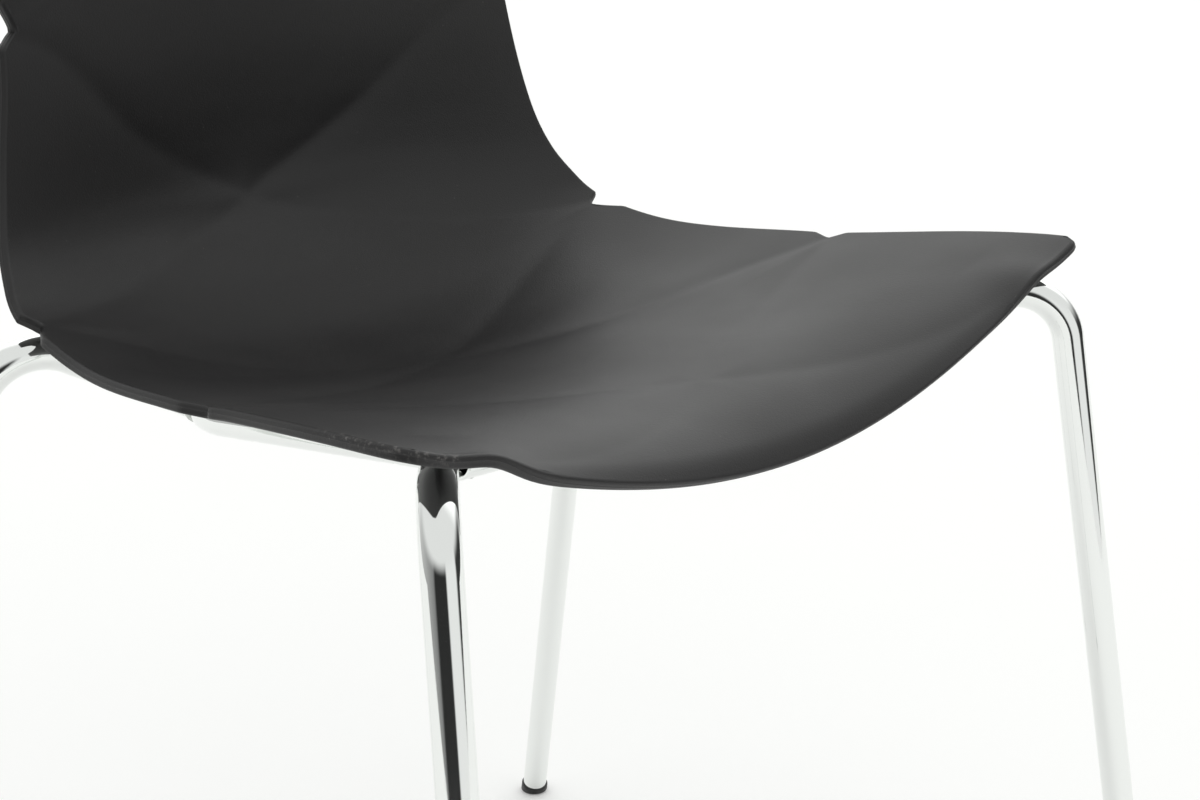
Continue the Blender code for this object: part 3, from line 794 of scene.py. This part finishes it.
def boss(place, skin):
    """A moulded boss under the seat: flared into the wall above, saddle-shaped on the rail below,
    with the bore that holds its threaded insert."""
    origin = place.translation
    wall, normal = nearest_wall(skin, origin.x, origin.y)
    inverse = place.inverted()
    wall = inverse @ wall
    normal = inverse.to_3x3() @ normal
    turn = 2 * pi / ROUND_SIDES

    def ring(radius, height_at):
        found = []
        for k in range(ROUND_SIDES):
            x, y = radius * cos(k * turn), radius * sin(k * turn)
            found.append(place @ Vector((x, y, height_at(x, y))))
        return found

    def on_wall(drop):
        return lambda x, y: wall.z - (normal.x * (x - wall.x) + normal.y * (y - wall.y)) / normal.z - drop

    def on_rail(x, y):
        fit = TUBE_DIAMETER / 2 + FIT
        return max(TUBE_DIAMETER / 2 - BOSS_SEAT, (max(fit**2 - x**2, 0)) ** 0.5)

    half = SHELL_THICKNESS / 2
    rings = [ring(BOSS_RADIUS + extra, on_wall(half + drop)) for drop, extra in BOSS_FLARE]
    rings.append(ring(BOSS_RADIUS, lambda x, y: on_rail(x, y) + BOSS_CHAMFER))
    rings.append(ring(BOSS_RADIUS - BOSS_CHAMFER, on_rail))
    rings.append(ring((BOSS_RADIUS + INSERT_BORE) / 2, on_rail))
    rings.append(ring(INSERT_BORE, on_rail))
    rings.append(ring(INSERT_BORE, lambda x, y: INSERT_CENTRE + INSERT_HALF))
    return swept(rings)


def build_shell(joints, material):
    grid, normal, _ = shell_grid()
    points, faces, wear = shell_parts()
    parts = [(points, faces.tolist())]
    parts += [boss(place, (grid, normal)) for place in joints.values()]
    # The mark of the mould's gate: a shallow round pad in the middle of the underside.
    wall, up = nearest_wall((grid, normal), 0, GATE_Y)
    upright = up.to_track_quat("Z", "Y").to_matrix().to_4x4()
    place = Matrix.Translation(wall - up * (SHELL_THICKNESS / 2)) @ upright
    parts.append(turned(GATE_PAD, GATE_SIDES, place))
    mesh = joined("moulded_shell", parts, smooth_angle=50)
    attribute = mesh.attributes.new("rim_wear", "FLOAT", "POINT")
    everywhere = np.zeros(len(mesh.vertices), np.float32)
    everywhere[: len(wear)] = wear
    attribute.data.foreach_set("value", everywhere)
    finished(add_object("moulded_shell", mesh, material), "shell_polypropylene", "seat_shell")


# ---- Frame ------------------------------------------------------------------------------------------
def joint_places():
    """Axes of the four screwed joints, on the rail's centre line with +Z square to it, upwards."""
    places = {}
    for label, side in SIDES:
        middles = {}
        for place in PLACES:
            low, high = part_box(f"threaded_insert_{place}_{label}")
            middles[place] = (Vector(low) + Vector(high)) / 2
        along = (middles["rear"] - middles["front"]).normalized()
        out = Vector((1, 0, 0))
        up = out.cross(along)
        axes = Matrix((out, along, up)).transposed().to_4x4()
        for place in PLACES:
            origin = middles[place] - up * INSERT_CENTRE
            places[f"{place}_{label}"] = Matrix.Translation(origin) @ axes
    return places


def build_frame(joints, chrome, weld_steel):
    front = joints["front_right"].translation
    rear = joints["rear_right"].translation
    rail_x = front.x
    slope = (rear.z - front.z) / (rear.y - front.y)

    def on_loop(x, y):
        return Vector((x, y, front.z + slope * (y - front.y)))

    radius = TUBE_DIAMETER / 2
    _, loop_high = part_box("seat_loop")
    rear_y = loop_high[1] - radius
    corners = [
        on_loop(-rail_x, CROSS_Y), on_loop(-rail_x, rear_y),
        on_loop(rail_x, rear_y), on_loop(rail_x, CROSS_Y),
    ]
    loop = filleted(corners, LOOP_RADIUS)
    along = (loop[1] - loop[0]).normalized()
    cross = []
    for i in range(2 * CROSS_STEPS + 1):
        across = i / CROSS_STEPS - 1
        point = on_loop((rail_x + radius) * across, CROSS_Y)
        point.z -= CROSS_BOW * (1 - across**2)
        cross.append(point)

    soles = {m["name"]: Vector(m["pos_m"]) for m in frame["record"]["mounts"]}
    turn = radians(REAR_WELD_TURN)
    lines = []
    welds = []
    feet = {}
    for label, side in SIDES:
        for place in PLACES:
            if place == "front":
                weld = on_loop(rail_x * side, FRONT_WELD_Y)
                rail = along
            else:
                weld_x = rail_x - LOOP_RADIUS * (1 - cos(turn))
                weld = on_loop(weld_x * side, rear_y - LOOP_RADIUS * (1 - sin(turn)))
                rail = (on_loop(-side * sin(turn), cos(turn)) - on_loop(0, 0)).normalized()
            knee_x, knee_y, rise = KNEES[place]
            corner = Vector((knee_x * side, knee_y, weld.z + rise))
            foot = soles[f"sole_{place}_{label}"]
            rising = (corner - foot).normalized()
            end = foot + rising * (GLIDE_HEIGHT / rising.z)
            feet[f"{place}_{label}"] = (end, rising)
            path = filleted([end, corner, weld], KNEE_RADIUS)
            lines.append(path)
            welds.append((weld, (path[-2] - weld).normalized(), rail))
    # The rails' front ends butt on the front cross tube.
    level = (cross[1] - cross[0]).normalized()
    for point, next_point in ((loop[0], loop[1]), (loop[-1], loop[-2])):
        welds.append((point, (next_point - point).normalized(), level))

    tubes = grown("tube_lines", lines_mesh("tube_lines", lines), tube_tree(),
                  Radius=radius, Sides=TUBE_SIDES, Material=chrome)
    obj = add_object("welded_tube_frame", tubes)
    loop_mesh = grown("loop_line", lines_mesh("loop_line", [loop]), tube_tree(),
                      Radius=radius, Sides=TUBE_SIDES, Material=chrome)
    loop_mesh = drilled(loop_mesh, joints, chrome)
    cross_mesh = joined("cross_tube", [open_ended_tube(cross, radius)])
    cross_mesh.materials.append(chrome)
    weld_lines = lines_mesh("weld_lines", [weld_line(*w, radius) for w in welds], closed=True)
    beads = grown("weld_lines", weld_lines, weld_tree(), smooth_angle=180,
                  Pitch=WELD_PITCH, Width=WELD_BEAD, Material=weld_steel)
    merge_meshes(obj, [loop_mesh, cross_mesh, beads])
    nodes_replaced = ["seat_loop", "front_cross_tube"]
    nodes_replaced += [f"leg_{place}_{label}" for place in PLACES for label, _ in SIDES]
    finished(obj, "chrome_tube", *nodes_replaced)
    return feet


def open_ended_tube(path, radius):
    """A nearly straight tube whose outside turns in over a small chamfer to its bore at each end."""
    bore = radius - TUBE_WALL
    chamfer = TUBE_CHAMFER
    first = (path[1] - path[0]).normalized()
    last = (path[-2] - path[-1]).normalized()
    start = [(path[0] + first * BORE_DEPTH, bore), (path[0] + first * chamfer, bore),
             (path[0], bore + chamfer), (path[0], radius - chamfer), (path[0] + first * chamfer, radius)]
    end = [(path[-1] + last * chamfer, radius), (path[-1], radius - chamfer), (path[-1], bore + chamfer),
           (path[-1] + last * chamfer, bore), (path[-1] + last * BORE_DEPTH, bore)]
    rings = []
    turn = 2 * pi / TUBE_SIDES
    back = Vector((0, 1, 0))
    for i, (point, size) in enumerate([*start, *[(p, radius) for p in path[1:-1]], *end]):
        ahead = first if i < len(start) else -last
        up = ahead.cross(back).normalized()
        side = up.cross(ahead)
        ring = [side * cos(k * turn) + up * sin(k * turn) for k in range(TUBE_SIDES)]
        rings.append([point + direction * size for direction in ring])
    return swept(rings)


def drilled(mesh, joints, chrome):
    """The loop's tube with the screws' access holes cut up into both rails from below."""
    loop = add_object("seat_loop_tube", mesh)
    depth = SADDLE_SEAT * MM + FIT
    profile = ((ACCESS_RADIUS, -TUBE_DIAMETER), (ACCESS_RADIUS, depth))
    drills = [turned(profile, ROUND_SIDES, place) for place in joints.values()]
    drill = add_object("drills", joined("drills", drills), chrome)
    cut = loop.modifiers.new("access_holes", "BOOLEAN")
    cut.operation = "DIFFERENCE"
    cut.solver = "EXACT"
    cut.object = drill
    graph = bpy.context.evaluated_depsgraph_get()
    made = bpy.data.meshes.new_from_object(loop.evaluated_get(graph))
    for obj in (loop, drill):
        bpy.data.objects.remove(obj)
    made.set_sharp_from_angle(angle=radians(30))
    return made


def merge_meshes(obj, meshes):
    """Adds these meshes to the object's own, each keeping its material."""
    bm = bmesh.new()
    bm.from_mesh(obj.data)
    for mesh in meshes:
        first = len(bm.faces)
        bm.from_mesh(mesh)
        bm.faces.ensure_lookup_table()
        slots = [m.name for m in obj.data.materials]
        for material in mesh.materials:
            if material and material.name not in slots:
                obj.data.materials.append(material)
                slots.append(material.name)
        names = [m.name if m else slots[0] for m in mesh.materials]
        for face in bm.faces[first:]:
            face.material_index = slots.index(names[face.material_index])
    bm.to_mesh(obj.data)
    bm.free()


def weld_line(weld, branch, rail, radius):
    """The closed line where a branch tube meets a rail of the same diameter."""
    side = branch.orthogonal().normalized()
    across = branch.cross(side)
    line = []
    for k in range(WELD_STEPS):
        angle = 2 * pi * k / WELD_STEPS
        offset = (side * cos(angle) + across * sin(angle)) * radius
        flat_offset = offset - rail * offset.dot(rail)
        flat_branch = branch - rail * branch.dot(rail)
        a = flat_branch.length_squared
        b = flat_offset.dot(flat_branch)
        c = flat_offset.length_squared - radius**2
        run = (-b + max(b * b - a * c, 0) ** 0.5) / a
        line.append(weld + offset + branch * (run + WELD_LIFT))
    return line


def build_glides(feet, nylon):
    """Plug-in glides: a lip a little wider than the tube, rounded above and chamfered to the sole."""
    parts = []
    lip = TUBE_DIAMETER / 2 + GLIDE_LIP
    turns = [2 * pi * k / ROUND_SIDES for k in range(ROUND_SIDES)]
    stem_inset, stem_length = GLIDE_STEM
    for end, rising in feet.values():
        side = rising.orthogonal().normalized()
        across = rising.cross(side)
        around = [side * cos(turn) + across * sin(turn) for turn in turns]

        def level(radius, height):
            ring = []
            for d in around:
                point = end + d * radius
                ring.append(point - rising * ((point.z - height) / rising.z))
            return ring

        rings = [level(lip - inset * MM, height * MM) for inset, height in GLIDE_SOLE]
        rings += [[end + d * (lip - inset * MM) - rising * (drop * MM) for d in around]
                  for inset, drop in GLIDE_SHOULDER]
        rings.append([end + d * (lip - stem_inset * MM) + rising * (stem_length * MM) for d in around])
        parts.append(swept(rings))
    obj = add_object("floor_glides", joined("floor_glides", parts), nylon)
    finished(obj, "glide_nylon", *[f"glide_{key}" for key in feet])


# ---- Screws and washers -----------------------------------------------------------------------------
def hexagon_or_circle(size, height, flats):
    """A ring of points: a circle of that radius, or a hexagon of that width across its flats."""
    ring = []
    for k in range(ROUND_SIDES):
        angle = 2 * pi * k / ROUND_SIDES
        reach = size / 2 / cos((angle + pi / 6) % (pi / 3) - pi / 6) if flats else size
        ring.append(Vector((reach * cos(angle), reach * sin(angle), height)))
    return ring


def screw_mesh():
    """A button-head socket screw inside the rail, its shank running up into the insert."""
    outline = [(size, SCREW_HEAD_END + height, flats) for size, height, flats in SCREW_OUTLINE]
    outline += [(size, SCREW_TOP - depth, False) for size, depth in SHANK_OUTLINE]
    rings = [hexagon_or_circle(size * MM, z * MM, flats) for size, z, flats in outline]
    return joined("screw_shape", [swept(rings)])


def washer_mesh():
    """A nylon saddle inside a rail: flat under the screw's head, rounded above to the bore."""
    fit = TUBE_DIAMETER / 2 - TUBE_WALL - FIT
    turn = 2 * pi / ROUND_SIDES

    def saddle(radius):
        ring = []
        for k in range(ROUND_SIDES):
            x, y = radius * cos(k * turn), radius * sin(k * turn)
            ring.append(Vector((x, y, (fit**2 - x**2) ** 0.5)))
        return ring

    rings = [hexagon_or_circle(size * MM, (SADDLE_SEAT + height) * MM, False)
             for size, height in WASHER_BELOW]
    rings += [saddle(size * MM) for size in WASHER_ABOVE]
    return joined("washer_shape", [swept(rings, closed=True)])


def build_fasteners(joints, steel, nylon):
    tree = copies_tree()
    for name, mesh, slot, material in (
        ("joint_screws", screw_mesh(), "screw_zinc", steel),
        ("saddle_washers", washer_mesh(), "washer_nylon", nylon),
    ):
        shape = add_object(f"{name}_shape", mesh)
        points = bpy.data.meshes.new(f"{name}_points")
        points.from_pydata([tuple(place.translation) for place in joints.values()], [], [])
        turns = points.attributes.new("turn", "FLOAT_VECTOR", "POINT")
        for i, place in enumerate(joints.values()):
            turns.data[i].vector = place.to_euler()
        made = grown(f"{name}_copies", points, tree, Part=shape, Material=material)
        bpy.data.objects.remove(shape)
        node = "shell_screw" if name == "joint_screws" else "saddle_washer"
        finished(add_object(name, made), slot, *[f"{node}_{key}" for key in joints])


# ---- Studio ---------------------------------------------------------------------------------------------
def build_floor():
    """A seamless pale floor."""
    material, tree, shader, coords = new_material("pale_paper_sweep", "#f1f1f0", 0.85)
    mottle = add_node(tree, "ShaderNodeTexNoise", {"Vector": coords, "Scale": 3.0, "Detail": 3.0})
    tone = add_node(
        tree, "ShaderNodeMix",
        {0: mottle.outputs["Fac"], 6: hex_colour("#f0f0ef"), 7: hex_colour("#f2f2f1")},
        data_type="RGBA",
    )
    tree.links.new(tone.outputs[2], shader.inputs["Base Color"])
    shader.inputs["Specular IOR Level"].default_value = 0.2
    # The sweep is lit a little from behind as well, so that it reads white.
    shader.inputs["Emission Color"].default_value = (1, 1, 1, 1)
    shader.inputs["Emission Strength"].default_value = FLOOR_GLOW
    # From below, the camera looks straight through it.
    below = add_node(tree, "ShaderNodeNewGeometry").outputs["Backfacing"]
    seen = add_node(tree, "ShaderNodeLightPath").outputs["Is Camera Ray"]
    clear = add_node(tree, "ShaderNodeMath", {0: below, 1: seen}, operation="MULTIPLY")
    through = add_node(tree, "ShaderNodeBsdfTransparent")
    mixed = add_node(
        tree, "ShaderNodeMixShader",
        {0: clear.outputs[0], 1: shader.outputs["BSDF"], 2: through.outputs["BSDF"]},
    )
    tree.links.new(mixed.outputs["Shader"], tree.nodes["Material Output"].inputs["Surface"])
    near, far = -FLOOR_FRONT, FLOOR_BEHIND
    corners = [(near, near, 0), (far, near, 0), (far, far, 0), (near, far, 0)]
    floor = add_object("studio_floor", mesh_from("studio_floor", corners, [(0, 1, 2, 3)]), material)


def build_world():
    """Studio light by direction: one wide soft bank overhead and to the right, and a horizon that
    is dark behind the camera, as the open studio is, with a lit screen on one side."""
    world = bpy.data.worlds.new("studio")
    bpy.context.scene.world = world
    world.use_nodes = True
    tree = world.node_tree
    background = tree.nodes["Background"]
    direction = add_node(tree, "ShaderNodeTexCoord").outputs["Generated"]
    axes = add_node(tree, "ShaderNodeSeparateXYZ", {"Vector": direction}).outputs
    turn = add_node(tree, "ShaderNodeMath", {0: axes["Y"], 1: axes["X"]}, operation="ARCTAN2")
    turns = add_node(
        tree, "ShaderNodeMath", {0: turn.outputs[0], 1: 1 / (2 * pi), 2: 1.0},
        operation="MULTIPLY_ADD",
    )
    share = add_node(tree, "ShaderNodeMath", {0: turns.outputs[0]}, operation="FRACT")
    screen = add_node(tree, "ShaderNodeValToRGB", {"Fac": share.outputs[0]})
    stops = screen.color_ramp.elements
    while len(stops) > 1:
        stops.remove(stops[-1])
    for i, (degrees, level) in enumerate(HORIZON):
        stop = stops[0] if i == 0 else stops.new(degrees / 360)
        stop.position = degrees / 360
        stop.color = (level, level, level, 1)
    lean = add_node(
        tree, "ShaderNodeVectorMath", {0: direction, 1: Vector(BANK_DIRECTION).normalized()},
        operation="DOT_PRODUCT",
    )
    sky = add_node(
        tree, "ShaderNodeMapRange",
        {"Value": lean.outputs["Value"], "From Min": BANK_EDGE[0], "From Max": BANK_EDGE[1],
         "To Min": SKY_LIGHT, "To Max": BANK_LIGHT},
        interpolation_type="SMOOTHSTEP",
    )
    rise = add_node(
        tree, "ShaderNodeMapRange",
        {"Value": axes["Z"], "From Min": HORIZON_TOP[0], "From Max": HORIZON_TOP[1],
         "To Min": 0.0, "To Max": 1.0},
        interpolation_type="SMOOTHSTEP",
    )
    light = add_node(
        tree, "ShaderNodeMix",
        {0: rise.outputs["Result"], 2: screen.outputs["Color"], 3: sky.outputs["Result"]},
        data_type="FLOAT",
    )
    # The camera itself sees only the pale backdrop.
    seen = add_node(tree, "ShaderNodeLightPath").outputs["Is Camera Ray"]
    strength = add_node(
        tree, "ShaderNodeMix",
        {0: seen, 2: light.outputs[0], 3: BACKDROP_LIGHT}, data_type="FLOAT",
    )
    tree.links.new(strength.outputs[0], background.inputs["Strength"])
    background.inputs["Color"].default_value = hex_colour("#fdfefd")


def build_camera():
    camera = bpy.data.cameras.new("camera")
    camera.lens = LENS
    camera.sensor_width = SENSOR_WIDTH
    obj = bpy.data.objects.new("camera", camera)
    obj.location = CAMERA_PLACE
    obj.rotation_euler = [radians(turn) for turn in CAMERA_TURN]
    bpy.context.scene.collection.objects.link(obj)
    bpy.context.scene.camera = obj


def build_all():
    shell_plastic = matt_polypropylene()
    chrome = bright_metal("chrome_plated_steel", "#eef0ee", (0.05, 0.09), 0.9 * MM, 0.01 * MM)
    weld_steel = bright_metal("chrome_plated_weld", "#c9ccc8", (0.10, 0.2), 0.5 * MM, 0.03 * MM)
    zinc = bright_metal("zinc_plated_steel", "#a9adb2", (0.28, 0.42), 0.4 * MM, 0.02 * MM)
    brass = bright_metal("turned_brass", "#c9a35a", (0.25, 0.38), 0.4 * MM, 0.02 * MM)
    washer_nylon = black_nylon("black_nylon_washer", "#161616", 0.45)
    glide_nylon = black_nylon("black_nylon_glide", "#121212", 0.4)
    joints = joint_places()
    build_shell(joints, shell_plastic)
    feet = build_frame(joints, chrome, weld_steel)
    build_glides(feet, glide_nylon)
    build_fasteners(joints, zinc, washer_nylon)
    for key in joints:
        insert = nodes[f"threaded_insert_{key}"]
        insert.data.materials.clear()
        insert.data.materials.append(brass)
    build_floor()
    build_world()
    build_camera()
    bpy.context.scene.view_settings.view_transform = "Standard"


build_all()
